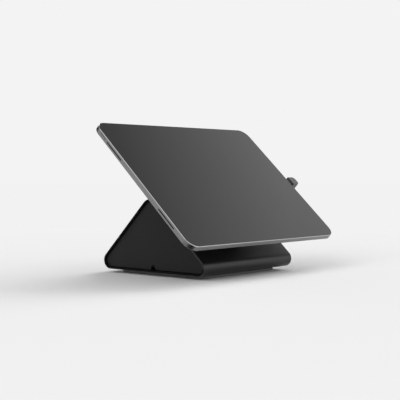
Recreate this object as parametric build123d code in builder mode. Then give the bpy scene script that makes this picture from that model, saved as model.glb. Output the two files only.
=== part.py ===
"""Tablet security kiosk stand: a bent steel wedge that carries an 11 inch tablet on a locking rail mount.

Millimetres. X runs to the right along the tablet's long edge, Y to the back, Z up.
The origin is the middle of the foot pad's underside, on the table.
"""

import os
from math import cos, hypot, radians, sin, tan

from build123d import *

os.makedirs("parts", exist_ok=True)


# Wedge

stand_width = 150.0
base_length = 168.6
front_angle = 42.9
back_angle = 45.0
sheet = 2.0
nose_radius = 8.5
heel_radius = 9.1
apex_radius = 12.9
sheet_edge_round = 0.5
overrun = 6.0

# Foot

foot_width = 126.0
foot_depth = 118.0
foot_corner = 9.0
foot_pad_height = 2.5
foot_pad_round = 0.8
base_plate_height = 1.6
base_plate_margin = 0.6

# Side panels and what holds them

panel_recess = 2.3
panel_seam = 0.35
panel_thickness = 2.5
panel_round = 0.5
skirt_wall = 1.8
skirt_depth = 6.0
outlet_radius = 3.2
outlet_height = 5.3
rod_radius = 5.0
rod_end_gap = 0.1
rod_wall_gap = 2.0
rod_socket_depth = 12.0
post_radius = 3.4
post_gap = 0.05
post_length = 9.0
rib_thickness = 2.0
rib_spacing = 92.0
rib_gap = 0.1
rib_window_share = 0.647

# Ballast and floor fasteners

ballast_rib_gap = 5.0
ballast_rod_gap = 6.9
ballast_height = 14.0
ballast_bevel = 1.0
base_screw_radius = 2.5
base_screw_spacing_x = 60.0
base_screw_spacing_y = 60.0
base_screw_head_radius = 4.5
base_screw_head_height = 1.8
base_screw_bite = 10.0
screw_clearance = 0.25
thread_clearance = 0.05
counter_hole_radius = 3.3
counter_hole_spacing_x = 110.0
counter_hole_spacing_y = 70.0
lock_slot_length = 7.0
lock_slot_height = 3.0
lock_slot_side = 52.0
lock_slot_rise = 30.0

# Tablet

tablet_length = 247.6
tablet_width = 178.5
tablet_thickness = 5.9
tablet_corner = 12.5
tablet_rise = 13.4
tablet_gap = 27.5
rim_width = 0.9
rim_chamfer = 0.45
back_edge_round = 0.7
back_wall = 0.9
side_wall = 2.2
glass_thickness = 0.8
glass_gap = 0.1
glass_edge_round = 0.3
layer_gap = 0.05

# Tablet inner pieces

display_border_x = 8.8
display_border_y = 6.75
display_thickness = 1.6
battery_end_gap = 27.8
battery_side_gap = 30.25
battery_thickness = 2.2
battery_board_gap = 1.5
board_length = 13.0
board_end_gap = 14.25
board_thickness = 1.0
speaker_length = 28.5
speaker_depth = 5.4
speaker_height = 3.4
slot_length = 27.5
slot_height = 1.3
slot_end_gap = 41.15
mesh_gap = 0.08
mesh_inset = 0.4
mesh_thickness = 0.5

# Tablet buttons

button_length = 10.0
button_height = 1.9
button_proud = 0.35
button_gap = 0.1
button_flange = 0.8
button_flange_thickness = 0.6
button_travel = 0.3
power_button_end_gap = 18.5
volume_button_place = 36.0
volume_button_pitch = 14.0
switch_length = 6.0
switch_thickness = 1.2

# Tablet camera

camera_inset = 22.0
camera_size = 25.0
camera_corner = 9.0
camera_proud = 1.6
camera_round = 0.6
lens_radius = 5.4
lens_gap = 0.08
lens_recess = 0.3
lens_thickness = 1.0

# Tablet port and the angle adapter in it

port_width = 9.3
port_height = 3.5
port_depth = 7.5
port_recess = 0.15
port_liner_gap = 0.05
port_liner_wall = 0.35
tongue_width = 6.7
tongue_thickness = 0.7
tongue_length = 5.8
plug_width = 8.3
plug_height = 2.5
plug_wall = 0.3
plug_inside = 6.2
plug_root = 1.2
collar_width = 9.4
collar_height = 3.6
collar_start = 0.4
adapter_start = 5.7
adapter_reach = 12.0
adapter_width = 12.0
adapter_front_level = 3.1
adapter_arm_thickness = 7.0
adapter_arm_gap = 0.6
adapter_arm_length = 16.0
adapter_back_corner = 4.0
adapter_arm_corner = 1.5
adapter_corner = 4.5
adapter_edge_round = 0.8
insert_gap = 0.05
insert_start = -1.2
socket_width = 9.1
socket_height = 3.3
socket_depth = 8.0
socket_wall = 0.3
socket_recess = 0.2

# Mount neck on the slope

neck_width = 56.0
neck_length = 52.0
neck_height = 18.5
neck_crown_gap = 45.3
neck_corner = 6.0
neck_roof = 3.0
neck_end_wall = 3.0
neck_edge_round = 1.0
backing_width = 62.0
backing_length = 56.0
backing_thickness = 2.5
neck_screw_radius = 2.5
neck_screw_side = 24.0
neck_screw_reach = 19.0
neck_screw_bite = 10.0
neck_screw_head_radius = 4.3
neck_screw_head_height = 3.0
duct_radius = 5.0
duct_side = 14.0
duct_offset = 8.0
duct_level = 8.2

# Rail head and the plate that hooks on it

rail_length = 48.0
rail_stem_width = 44.0
rail_width = 56.0
rail_flange = 2.5
rail_top = 24.2
rail_screw_radius = 2.0
rail_screw_side = 13.0
rail_screw_reach = 16.0
rail_screw_head_radius = 3.8
countersink_half_angle = 41.0
rail_screw_tip_gap = 0.2
slide_gap = 0.3
plate_width = 100.0
plate_length = 84.0
plate_offset = 6.0
plate_corner = 8.0
plate_thickness = 2.0
pad_margin = 2.0
guide_wall = 2.0
guide_lip = 5.5
guide_foot = 9.0
guide_length = 46.0
rivet_radius = 1.6
rivet_head_radius = 2.8
rivet_head_height = 1.1
rivet_pitch = 17.0
rivet_foot_share = 0.5
stop_width = 40.0
stop_length = 3.0
bumper_width = 36.0
bumper_thickness = 1.2
bumper_gap = 0.2

# Key lock in the neck

lock_level = 8.0
lock_body_radius = 5.2
lock_body_length = 14.0
lock_flange_radius = 7.4
lock_flange_thickness = 1.5
lock_fit = 0.05
lock_nut_radius = 7.3
lock_nut_thickness = 3.0
lock_core_radius = 3.4
lock_core_recess = 0.3
lock_core_length = 15.7
core_tail_side = 4.4
core_tail_length = 3.4
keyway_width = 1.2
keyway_length = 4.8
keyway_depth = 8.0
cam_reach = 17.8
cam_width = 6.0
cam_hub_radius = 4.6
cam_thickness = 2.2
cam_gap = 0.1
cam_slot_gap = 0.35
cam_slot_end_gap = 0.6
cam_screw_radius = 1.2
cam_screw_head_radius = 2.6
cam_screw_head_height = 1.4
cam_screw_bite = 5.0
cam_pocket_end_gap = 1.6


# Shape of the wedge, and the planes that everything is placed on

front = radians(front_angle)
back = radians(back_angle)
shell_floor = foot_pad_height + base_plate_height
wedge_height = base_length * sin(front) * sin(back) / sin(front + back)
nose = (-base_length / 2, shell_floor)
heel = (base_length / 2, shell_floor)
apex = (nose[0] + wedge_height / tan(front), shell_floor + wedge_height)
corners = [nose, heel, apex]
corner_radii = [nose_radius, heel_radius, apex_radius]
front_side = hypot(apex[0] - nose[0], wedge_height)
back_side = hypot(heel[0] - apex[0], wedge_height)
perimeter = base_length + front_side + back_side
inradius = base_length * wedge_height / perimeter
neck_place = front_side - neck_crown_gap
duct_place = neck_place - duct_offset
plate_place = neck_place + plate_offset
incentre = [
    (nose[i] * back_side + heel[i] * front_side + apex[i] * base_length) / perimeter
    for i in range(2)
]

up_slope = Vector(0, cos(front), sin(front))
off_slope = Vector(0, -sin(front), cos(front))
right = Vector(1, 0, 0)
slope = Plane(origin=(0, *nose), x_dir=right, z_dir=off_slope)
outward = Axis(slope.origin, off_slope)


def inset_corners(inset):
    """Corners of the wedge's side profile, moved in from all three sides."""
    share = (inradius - inset) / inradius
    return [
        (incentre[0] + share * (y - incentre[0]), incentre[1] + share * (z - incentre[1]))
        for y, z in corners
    ]


def side_profile(inset):
    """Edges of the wedge's side profile with its rounded corners, moved in from all sides."""
    with BuildLine() as profile:
        FilletPolyline(
            *inset_corners(inset),
            radius=[radius - inset for radius in corner_radii],
            close=True,
        )
    return profile.edges()


def facing(direction, x, s, n):
    """Plane at a place on the slope, square to a direction along the slope or across it."""
    origin = slope.from_local_coords(Vector(x, s, n))
    x_dir = right if abs(direction.X) < abs(direction.Y) + abs(direction.Z) else up_slope
    return Plane(origin=origin, x_dir=x_dir, z_dir=direction)


# Sheet steel shell, bent round and closed into a triangular tube

neck_screw_places = [
    (side * neck_screw_side, neck_place + end * neck_screw_reach)
    for side in (-1, 1)
    for end in (-1, 1)
]
back_slope = Plane(origin=(0, *heel), x_dir=-right, z_dir=(0, sin(back), cos(back)))

with BuildPart() as wrap_shell:
    with BuildSketch(Plane.YZ.offset(-stand_width / 2)):
        make_face(side_profile(0))
        make_face(side_profile(sheet), mode=Mode.SUBTRACT)
    extrude(amount=stand_width)
    end_faces = wrap_shell.faces().filter_by(Axis.X)
    fillet([edge for face in end_faces for edge in face.outer_wire().edges()], sheet_edge_round)
    with BuildSketch(slope):
        with Locations(*neck_screw_places):
            Circle(neck_screw_radius + screw_clearance)
        with Locations((duct_side, duct_place)):
            Circle(duct_radius)
    extrude(amount=overrun, both=True, mode=Mode.SUBTRACT)
    with BuildSketch(Plane.XY.offset(shell_floor)):
        with GridLocations(base_screw_spacing_x, base_screw_spacing_y, 2, 2):
            Circle(base_screw_radius + screw_clearance)
        with GridLocations(counter_hole_spacing_x, counter_hole_spacing_y, 2, 2):
            Circle(counter_hole_radius)
    extrude(amount=overrun, both=True, mode=Mode.SUBTRACT)
    with BuildSketch(back_slope):
        with Locations((-lock_slot_side, lock_slot_rise)):
            SlotOverall(lock_slot_length, lock_slot_height)
    extrude(amount=overrun, both=True, mode=Mode.SUBTRACT)
wrap_shell.part.label = "wrap_shell"
export_step(wrap_shell.part, "parts/wrap_shell.step")


# Moulded side panels, set back in the shell's ends, with a cable outlet at the foot of each

panel_face = stand_width / 2 - panel_recess
panel_inner = panel_face - panel_thickness
panel_inset = sheet + panel_seam
rod_inset = panel_inset + skirt_wall + rod_wall_gap + rod_radius
rod_places = inset_corners(rod_inset)

with BuildPart() as right_side_panel:
    with BuildSketch(Plane.YZ.offset(panel_face)):
        make_face(side_profile(panel_inset))
    extrude(amount=-panel_thickness)
    face_edges = right_side_panel.faces().sort_by(Axis.X)[-1].outer_wire().edges()
    fillet(face_edges, panel_round)
    with BuildSketch(Plane.YZ.offset(panel_inner)):
        make_face(side_profile(panel_inset))
        make_face(side_profile(panel_inset + skirt_wall), mode=Mode.SUBTRACT)
    extrude(amount=-skirt_depth)
    with BuildSketch(Plane.YZ.offset(panel_inner)):
        with Locations(*rod_places):
            Circle(post_radius)
    extrude(amount=-post_length)
    with BuildSketch(Plane.YZ.offset(panel_face)):
        with Locations((0, shell_floor + sheet + outlet_height - outlet_radius)):
            Circle(outlet_radius)
        with Locations((0, shell_floor + sheet + (outlet_height - outlet_radius) / 2)):
            Rectangle(2 * outlet_radius, outlet_height - outlet_radius)
    extrude(amount=-(panel_thickness + skirt_depth + overrun), mode=Mode.SUBTRACT)
right_side_panel.part.label = "right_side_panel"
export_step(right_side_panel.part, "parts/right_side_panel.step")

with BuildPart() as left_side_panel:
    mirror(right_side_panel.part, about=Plane.YZ)
left_side_panel.part.label = "left_side_panel"
export_step(left_side_panel.part, "parts/left_side_panel.step")


# Tie rods between the panels, with sockets for the panels' posts, and the ribs that carry them

rod_length = 2 * (panel_inner - rod_end_gap)

with BuildPart() as tie_rods:
    with BuildSketch(Plane.YZ.offset(-rod_length / 2)):
        with Locations(*rod_places):
            Circle(rod_radius)
    extrude(amount=rod_length)
    for side in (-1, 1):
        with BuildSketch(Plane.YZ.offset(side * rod_length / 2)):
            with Locations(*rod_places):
                Circle(post_radius + post_gap)
        extrude(amount=-side * rod_socket_depth, mode=Mode.SUBTRACT)
tie_rods.part.label = "tie_rods"
export_step(tie_rods.part, "parts/tie_rods.step")

with BuildPart() as rib_plates:
    for side in (-1, 1):
        with BuildSketch(Plane.YZ.offset(side * rib_spacing / 2)):
            make_face(side_profile(sheet + rib_gap))
            with Locations(*rod_places):
                Circle(rod_radius + post_gap, mode=Mode.SUBTRACT)
            with Locations(tuple(incentre)):
                Circle(rib_window_share * inradius, mode=Mode.SUBTRACT)
        extrude(amount=side * rib_thickness)
rib_plates.part.label = "rib_plates"
export_step(rib_plates.part, "parts/rib_plates.step")


# Ballast on the floor of the shell

ballast_floor = shell_floor + sheet
ballast_width = rib_spacing - 2 * ballast_rib_gap
ballast_depth = 2 * (min(abs(y) for y, z in rod_places[:2]) - rod_radius - ballast_rod_gap)

with BuildPart() as ballast_block:
    with BuildSketch(Plane.XY.offset(ballast_floor)):
        Rectangle(ballast_width, ballast_depth)
    extrude(amount=ballast_height)
    chamfer(ballast_block.faces().sort_by(Axis.Z)[-1].edges(), ballast_bevel)
    with BuildSketch(Plane.XY.offset(ballast_floor)):
        with GridLocations(base_screw_spacing_x, base_screw_spacing_y, 2, 2):
            Circle(base_screw_radius + thread_clearance)
    extrude(amount=base_screw_bite + ballast_bevel, mode=Mode.SUBTRACT)
ballast_block.part.label = "ballast_block"
export_step(ballast_block.part, "parts/ballast_block.step")


# Foot: a steel base plate with a rubber pad under it

with BuildPart() as base_plate:
    with BuildSketch(Plane.XY.offset(foot_pad_height)):
        RectangleRounded(
            foot_width - 2 * base_plate_margin,
            foot_depth - 2 * base_plate_margin,
            foot_corner - base_plate_margin,
        )
        with GridLocations(base_screw_spacing_x, base_screw_spacing_y, 2, 2):
            Circle(base_screw_radius + screw_clearance, mode=Mode.SUBTRACT)
        with GridLocations(counter_hole_spacing_x, counter_hole_spacing_y, 2, 2):
            Circle(counter_hole_radius, mode=Mode.SUBTRACT)
    extrude(amount=base_plate_height)
base_plate.part.label = "base_plate"
export_step(base_plate.part, "parts/base_plate.step")

with BuildPart() as foot_pad:
    with BuildSketch(Plane.XY):
        RectangleRounded(foot_width, foot_depth, foot_corner)
        with GridLocations(base_screw_spacing_x, base_screw_spacing_y, 2, 2):
            Circle(base_screw_head_radius + screw_clearance, mode=Mode.SUBTRACT)
        with GridLocations(counter_hole_spacing_x, counter_hole_spacing_y, 2, 2):
            Circle(counter_hole_radius, mode=Mode.SUBTRACT)
    extrude(amount=foot_pad_height)
    fillet(foot_pad.faces().sort_by(Axis.Z)[0].outer_wire().edges(), foot_pad_round)
foot_pad.part.label = "foot_pad"
export_step(foot_pad.part, "parts/foot_pad.step")

with BuildPart() as base_screws:
    with BuildSketch(Plane.XY.offset(foot_pad_height)):
        with GridLocations(base_screw_spacing_x, base_screw_spacing_y, 2, 2):
            Circle(base_screw_head_radius)
    extrude(amount=-base_screw_head_height)
    with BuildSketch(Plane.XY.offset(foot_pad_height)):
        with GridLocations(base_screw_spacing_x, base_screw_spacing_y, 2, 2):
            Circle(base_screw_radius)
    extrude(amount=base_plate_height + sheet + base_screw_bite)
base_screws.part.label = "base_screws"
export_step(base_screws.part, "parts/base_screws.step")


# Mount neck: a cast block screwed to the slope, with the lock's pocket and a cable duct

neck_end = neck_place + neck_length / 2
lock_wall = neck_end - neck_end_wall
core_start = neck_end + lock_flange_thickness - lock_core_recess
core_shoulder = core_start - lock_core_length
cam_place = core_shoulder - cam_gap - cam_thickness / 2
pocket_start = core_shoulder - core_tail_length - cam_screw_head_height - cam_pocket_end_gap
pocket_side = cam_reach + cam_pocket_end_gap
pocket_left = lock_nut_radius + cam_slot_end_gap
neck_ceiling = neck_height - neck_roof
slot_left = cam_width / 2 + cam_slot_end_gap
slot_width = cam_thickness + 2 * cam_slot_gap


def cam_sweep(level):
    """How far to the right the turning cam reaches at a level above the slope."""
    corner_reach = hypot(cam_reach, cam_width / 2)
    return (corner_reach**2 - (level - lock_level) ** 2) ** 0.5 + cam_slot_end_gap


neck_slot = cam_sweep(neck_ceiling)
rail_slot = cam_sweep(neck_height)
plate_level = rail_top + slide_gap
plate_slot = cam_sweep(plate_level)
rail_screw_places = [
    (side * rail_screw_side, neck_place + end * rail_screw_reach)
    for side in (-1, 1)
    for end in (-1, 1)
]

with BuildPart() as mount_neck:
    with BuildSketch(slope):
        with Locations((0, neck_place)):
            RectangleRounded(neck_width, neck_length, neck_corner)
    extrude(amount=neck_height)
    fillet(mount_neck.faces().sort_by(outward)[-1].edges(), neck_edge_round)
    with BuildSketch(slope):
        with Locations(((pocket_side - pocket_left) / 2, (pocket_start + lock_wall) / 2)):
            Rectangle(pocket_side + pocket_left, lock_wall - pocket_start)
    extrude(amount=neck_ceiling, mode=Mode.SUBTRACT)
    with BuildSketch(slope.offset(neck_height)):
        with Locations(((neck_slot - slot_left) / 2, cam_place)):
            Rectangle(neck_slot + slot_left, slot_width)
    extrude(amount=-neck_roof, mode=Mode.SUBTRACT)
    with BuildSketch(facing(up_slope, 0, neck_end, lock_level)):
        Circle(lock_body_radius + lock_fit)
    extrude(amount=-neck_end_wall, mode=Mode.SUBTRACT)
    with BuildSketch(slope):
        with Locations(*neck_screw_places):
            Circle(neck_screw_radius + thread_clearance)
    extrude(amount=neck_screw_bite + neck_edge_round, mode=Mode.SUBTRACT)
    with BuildSketch(slope.offset(neck_height)):
        with Locations(*rail_screw_places):
            Circle(rail_screw_radius + thread_clearance)
    extrude(amount=-neck_roof, mode=Mode.SUBTRACT)
    with BuildSketch(slope):
        with Locations((duct_side, duct_place)):
            Circle(duct_radius)
    extrude(amount=duct_level, mode=Mode.SUBTRACT)
    with BuildSketch(facing(right, duct_side, duct_place, duct_level)):
        Circle(duct_radius)
    extrude(amount=neck_width, mode=Mode.SUBTRACT)
    with Locations(slope.from_local_coords(Vector(duct_side, duct_place, duct_level))):
        Sphere(duct_radius, mode=Mode.SUBTRACT)
mount_neck.part.label = "mount_neck"
export_step(mount_neck.part, "parts/mount_neck.step")

with BuildPart() as backing_plate:
    with BuildSketch(slope.offset(-sheet)):
        with Locations((0, neck_place)):
            RectangleRounded(backing_width, backing_length, neck_corner)
        with Locations(*neck_screw_places):
            Circle(neck_screw_radius + screw_clearance, mode=Mode.SUBTRACT)
        with Locations((duct_side, duct_place)):
            Circle(duct_radius, mode=Mode.SUBTRACT)
    extrude(amount=-backing_thickness)
backing_plate.part.label = "backing_plate"
export_step(backing_plate.part, "parts/backing_plate.step")

with BuildPart() as neck_screws:
    with BuildSketch(slope.offset(-sheet - backing_thickness)):
        with Locations(*neck_screw_places):
            Circle(neck_screw_head_radius)
    extrude(amount=-neck_screw_head_height)
    with BuildSketch(slope.offset(-sheet - backing_thickness)):
        with Locations(*neck_screw_places):
            Circle(neck_screw_radius)
    extrude(amount=backing_thickness + sheet + neck_screw_bite)
neck_screws.part.label = "neck_screws"
export_step(neck_screws.part, "parts/neck_screws.step")


# Key lock: body and nut in the neck's end wall, then the core with its cam

with BuildPart() as lock_body:
    with BuildSketch(facing(up_slope, 0, neck_end, lock_level)):
        Circle(lock_flange_radius)
    extrude(amount=lock_flange_thickness)
    with BuildSketch(facing(up_slope, 0, neck_end, lock_level)):
        Circle(lock_body_radius)
    extrude(amount=-lock_body_length)
    with BuildSketch(facing(up_slope, 0, neck_end + lock_flange_thickness, lock_level)):
        Circle(lock_core_radius + lock_fit)
    extrude(amount=-(lock_body_length + lock_flange_thickness), mode=Mode.SUBTRACT)
lock_body.part.label = "lock_body"
export_step(lock_body.part, "parts/lock_body.step")

with BuildPart() as lock_nut:
    with BuildSketch(facing(up_slope, 0, lock_wall, lock_level)):
        RegularPolygon(lock_nut_radius, side_count=6)
        Circle(lock_body_radius + lock_fit, mode=Mode.SUBTRACT)
    extrude(amount=-lock_nut_thickness)
lock_nut.part.label = "lock_nut"
export_step(lock_nut.part, "parts/lock_nut.step")

with BuildPart() as lock_core:
    with BuildSketch(facing(up_slope, 0, core_start, lock_level)):
        Circle(lock_core_radius)
    extrude(amount=-lock_core_length)
    with BuildSketch(facing(up_slope, 0, core_shoulder, lock_level)):
        Rectangle(core_tail_side, core_tail_side)
    extrude(amount=-core_tail_length)
    with BuildSketch(facing(up_slope, 0, core_start, lock_level)):
        SlotOverall(keyway_length, keyway_width)
    extrude(amount=-keyway_depth, mode=Mode.SUBTRACT)
    with BuildSketch(facing(up_slope, 0, core_shoulder - core_tail_length, lock_level)):
        Circle(cam_screw_radius + thread_clearance)
    extrude(amount=cam_screw_bite, mode=Mode.SUBTRACT)
lock_core.part.label = "lock_core"
export_step(lock_core.part, "parts/lock_core.step")

with BuildPart() as lock_cam:
    with BuildSketch(facing(up_slope, 0, core_shoulder - cam_gap, lock_level)):
        Circle(cam_hub_radius)
        with Locations((cam_reach / 2, 0)):
            Rectangle(cam_reach, cam_width)
        Rectangle(core_tail_side + cam_gap, core_tail_side + cam_gap, mode=Mode.SUBTRACT)
    extrude(amount=-cam_thickness)
lock_cam.part.label = "lock_cam"
export_step(lock_cam.part, "parts/lock_cam.step")

with BuildPart() as cam_screw:
    with BuildSketch(facing(up_slope, 0, core_shoulder - core_tail_length, lock_level)):
        Circle(cam_screw_head_radius)
    extrude(amount=-cam_screw_head_height)
    with BuildSketch(facing(up_slope, 0, core_shoulder - core_tail_length, lock_level)):
        Circle(cam_screw_radius)
    extrude(amount=cam_screw_bite)
cam_screw.part.label = "cam_screw"
export_step(cam_screw.part, "parts/cam_screw.step")


# Rail head on the neck: a T section along the slope, with countersunk screws

rail_end = neck_place + rail_length / 2

with BuildPart() as rail_head:
    with BuildSketch(slope.offset(neck_height)):
        with Locations((0, neck_place)):
            Rectangle(rail_stem_width, rail_length)
    extrude(amount=rail_top - rail_flange - neck_height)
    with BuildSketch(slope.offset(rail_top - rail_flange)):
        with Locations((0, neck_place)):
            Rectangle(rail_width, rail_length)
    extrude(amount=rail_flange)
    with BuildSketch(slope.offset(rail_top)):
        with Locations(((rail_slot - slot_left) / 2, cam_place)):
            Rectangle(rail_slot + slot_left, slot_width)
    extrude(amount=neck_height - rail_top, mode=Mode.SUBTRACT)
    with Locations(slope.offset(rail_top)):
        with Locations(*rail_screw_places):
            CounterSinkHole(
                rail_screw_radius + thread_clearance,
                rail_screw_head_radius,
                rail_top - neck_height,
                2 * countersink_half_angle,
            )
rail_head.part.label = "rail_head"
export_step(rail_head.part, "parts/rail_head.step")

with BuildPart() as rail_screws:
    with BuildSketch(slope.offset(rail_top)):
        with Locations(*rail_screw_places):
            Circle(rail_screw_head_radius - thread_clearance)
    extrude(amount=-(rail_screw_head_radius - rail_screw_radius), taper=countersink_half_angle)
    with BuildSketch(slope.offset(rail_top)):
        with Locations(*rail_screw_places):
            Circle(rail_screw_radius)
    extrude(amount=neck_ceiling - rail_top + rail_screw_tip_gap)
rail_screws.part.label = "rail_screws"
export_step(rail_screws.part, "parts/rail_screws.step")


# Tablet plate: bonded to the tablet's back, with guides that hook under the rail head

plate_slot_centre = (plate_slot - slot_left) / 2
plate_top = plate_level + plate_thickness
guide_side = rail_width / 2 + slide_gap
guide_top = rail_top - rail_flange - slide_gap
guide_floor = guide_top - guide_wall
rivet_side = guide_side + guide_wall + guide_foot * rivet_foot_share
rivet_places = [
    (side * rivet_side, neck_place + step * rivet_pitch)
    for side in (-1, 1)
    for step in (-1, 0, 1)
]

with BuildPart() as tablet_plate:
    with BuildSketch(slope.offset(plate_level)):
        with Locations((0, plate_place)):
            RectangleRounded(plate_width, plate_length, plate_corner)
        with Locations((plate_slot_centre, cam_place)):
            Rectangle(plate_slot + slot_left, slot_width, mode=Mode.SUBTRACT)
        with Locations(*rivet_places):
            Circle(rivet_radius + thread_clearance, mode=Mode.SUBTRACT)
    extrude(amount=plate_thickness)
tablet_plate.part.label = "tablet_plate"
export_step(tablet_plate.part, "parts/tablet_plate.step")

with BuildPart() as bond_pad:
    with BuildSketch(slope.offset(plate_top)):
        with Locations((0, plate_place)):
            RectangleRounded(
                plate_width - 2 * pad_margin, plate_length - 2 * pad_margin, plate_corner - pad_margin
            )
    extrude(amount=tablet_gap - plate_top)
bond_pad.part.label = "bond_pad"
export_step(bond_pad.part, "parts/bond_pad.step")

with BuildPart() as plate_guides:
    with BuildSketch(facing(up_slope, 0, neck_place - guide_length / 2, 0)):
        for side in (-1, 1):
            with Locations((side * (guide_side + guide_wall / 2), -(guide_floor + plate_level) / 2)):
                Rectangle(guide_wall, plate_level - guide_floor)
            with Locations(
                (side * (guide_side + (guide_wall - guide_lip) / 2), -(guide_floor + guide_top) / 2)
            ):
                Rectangle(guide_wall + guide_lip, guide_wall)
            with Locations(
                (side * (guide_side + guide_wall + guide_foot / 2), -(plate_level - guide_wall / 2))
            ):
                Rectangle(guide_foot, guide_wall)
    extrude(amount=guide_length)
    with BuildSketch(slope.offset(plate_level)):
        with Locations(*rivet_places):
            Circle(rivet_radius + thread_clearance)
    extrude(amount=-guide_wall, mode=Mode.SUBTRACT)
plate_guides.part.label = "plate_guides"
export_step(plate_guides.part, "parts/plate_guides.step")

with BuildPart() as guide_rivets:
    with BuildSketch(slope.offset(plate_level - guide_wall)):
        with Locations(*rivet_places):
            Circle(rivet_head_radius)
    extrude(amount=-rivet_head_height)
    with BuildSketch(slope.offset(plate_level - guide_wall)):
        with Locations(*rivet_places):
            Circle(rivet_radius)
    extrude(amount=guide_wall + plate_thickness)
guide_rivets.part.label = "guide_rivets"
export_step(guide_rivets.part, "parts/guide_rivets.step")

with BuildPart() as plate_stop:
    with BuildSketch(slope.offset(plate_level)):
        with Locations((0, rail_end + bumper_gap + bumper_thickness + stop_length / 2)):
            Rectangle(stop_width, stop_length)
    extrude(amount=-(plate_level - guide_floor))
plate_stop.part.label = "plate_stop"
export_step(plate_stop.part, "parts/plate_stop.step")

with BuildPart() as stop_bumper:
    with BuildSketch(slope.offset(plate_level - bumper_gap)):
        with Locations((0, rail_end + bumper_gap + bumper_thickness / 2)):
            Rectangle(bumper_width, bumper_thickness)
    extrude(amount=-(plate_level - guide_floor - 2 * bumper_gap))
stop_bumper.part.label = "stop_bumper"
export_step(stop_bumper.part, "parts/stop_bumper.step")


# Tablet: aluminium housing with its cover glass

tablet_place = tablet_rise + tablet_width / 2
tablet_front = tablet_gap + tablet_thickness
tablet_middle = tablet_gap + tablet_thickness / 2
glass_level = tablet_front - glass_thickness
glass_inset = rim_width + glass_gap
left_edge = -tablet_length / 2
right_edge = tablet_length / 2
top_edge = tablet_place + tablet_width / 2
inner_side = tablet_length / 2 - side_wall
power_place = top_edge - power_button_end_gap
slot_offset = tablet_width / 2 - slot_end_gap
volume_places = [
    left_edge + volume_button_place,
    left_edge + volume_button_place + volume_button_pitch,
]
camera_place = (left_edge + camera_inset, top_edge - camera_inset)
button_faces = [facing(-right, left_edge, power_place, tablet_middle)] + [
    facing(up_slope, x, top_edge, tablet_middle) for x in volume_places
]
speaker_faces = [
    facing(side * right, side * right_edge, tablet_place + end * slot_offset, tablet_middle)
    for side in (-1, 1)
    for end in (-1, 1)
]

with BuildPart() as tablet_housing:
    with BuildSketch(slope.offset(tablet_gap)):
        with Locations((0, tablet_place)):
            RectangleRounded(tablet_length, tablet_width, tablet_corner)
    extrude(amount=tablet_thickness)
    fillet(tablet_housing.faces().sort_by(outward)[0].edges(), back_edge_round)
    chamfer(tablet_housing.faces().sort_by(outward)[-1].edges(), rim_chamfer)
    with BuildSketch(slope.offset(tablet_front)):
        with Locations((0, tablet_place)):
            RectangleRounded(
                tablet_length - 2 * rim_width, tablet_width - 2 * rim_width, tablet_corner - rim_width
            )
    extrude(amount=-(glass_thickness + layer_gap), mode=Mode.SUBTRACT)
    with BuildSketch(slope.offset(tablet_gap + back_wall)):
        with Locations((0, tablet_place)):
            RectangleRounded(
                tablet_length - 2 * side_wall, tablet_width - 2 * side_wall, tablet_corner - side_wall
            )
    extrude(amount=tablet_thickness - back_wall, mode=Mode.SUBTRACT)
    with BuildSketch(*button_faces):
        SlotOverall(button_length + 2 * button_gap, button_height + 2 * button_gap)
    extrude(amount=-(side_wall + layer_gap), mode=Mode.SUBTRACT)
    with BuildSketch(*speaker_faces):
        SlotOverall(slot_length, slot_height)
    extrude(amount=-(side_wall + layer_gap), mode=Mode.SUBTRACT)
    with BuildSketch(facing(right, right_edge, tablet_place, tablet_middle)):
        SlotOverall(port_width, port_height)
    extrude(amount=-(side_wall + layer_gap), mode=Mode.SUBTRACT)
    with BuildSketch(slope.offset(tablet_gap)):
        with Locations(camera_place):
            Circle(lens_radius + lens_gap)
    extrude(amount=back_wall, mode=Mode.SUBTRACT)
tablet_housing.part.label = "tablet_housing"
export_step(tablet_housing.part, "parts/tablet_housing.step")

with BuildPart() as cover_glass:
    with BuildSketch(slope.offset(glass_level)):
        with Locations((0, tablet_place)):
            RectangleRounded(
                tablet_length - 2 * glass_inset, tablet_width - 2 * glass_inset, tablet_corner - glass_inset
            )
    extrude(amount=glass_thickness)
    fillet(cover_glass.faces().sort_by(outward)[-1].edges(), glass_edge_round)
cover_glass.part.label = "cover_glass"
export_step(cover_glass.part, "parts/cover_glass.step")


# Tablet inner pieces

with BuildPart() as display_panel:
    with BuildSketch(slope.offset(glass_level - layer_gap)):
        with Locations((0, tablet_place)):
            Rectangle(tablet_length - 2 * display_border_x, tablet_width - 2 * display_border_y)
    extrude(amount=-display_thickness)
display_panel.part.label = "display_panel"
export_step(display_panel.part, "parts/display_panel.step")

battery_start = board_length / 2 + battery_board_gap
battery_end = right_edge - battery_end_gap
battery_offset = (battery_start + battery_end) / 2

with BuildPart() as battery_cells:
    with BuildSketch(slope.offset(tablet_gap + back_wall)):
        with Locations((-battery_offset, tablet_place), (battery_offset, tablet_place)):
            RectangleRounded(
                battery_end - battery_start, tablet_width - 2 * battery_side_gap, battery_thickness
            )
    extrude(amount=battery_thickness)
battery_cells.part.label = "battery_cells"
export_step(battery_cells.part, "parts/battery_cells.step")

with BuildPart() as main_board:
    with BuildSketch(slope.offset(tablet_gap + back_wall)):
        with Locations((0, tablet_place)):
            Rectangle(board_length, tablet_width - 2 * board_end_gap)
    extrude(amount=board_thickness)
main_board.part.label = "main_board"
export_step(main_board.part, "parts/main_board.step")

with BuildPart() as speaker_modules:
    with BuildSketch(slope.offset(tablet_gap + back_wall)):
        with Locations(
            *[
                (side * (inner_side - layer_gap - speaker_depth / 2), tablet_place + end * slot_offset)
                for side in (-1, 1)
                for end in (-1, 1)
            ]
        ):
            Rectangle(speaker_depth, speaker_length)
    extrude(amount=speaker_height)
speaker_modules.part.label = "speaker_modules"
export_step(speaker_modules.part, "parts/speaker_modules.step")

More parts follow.
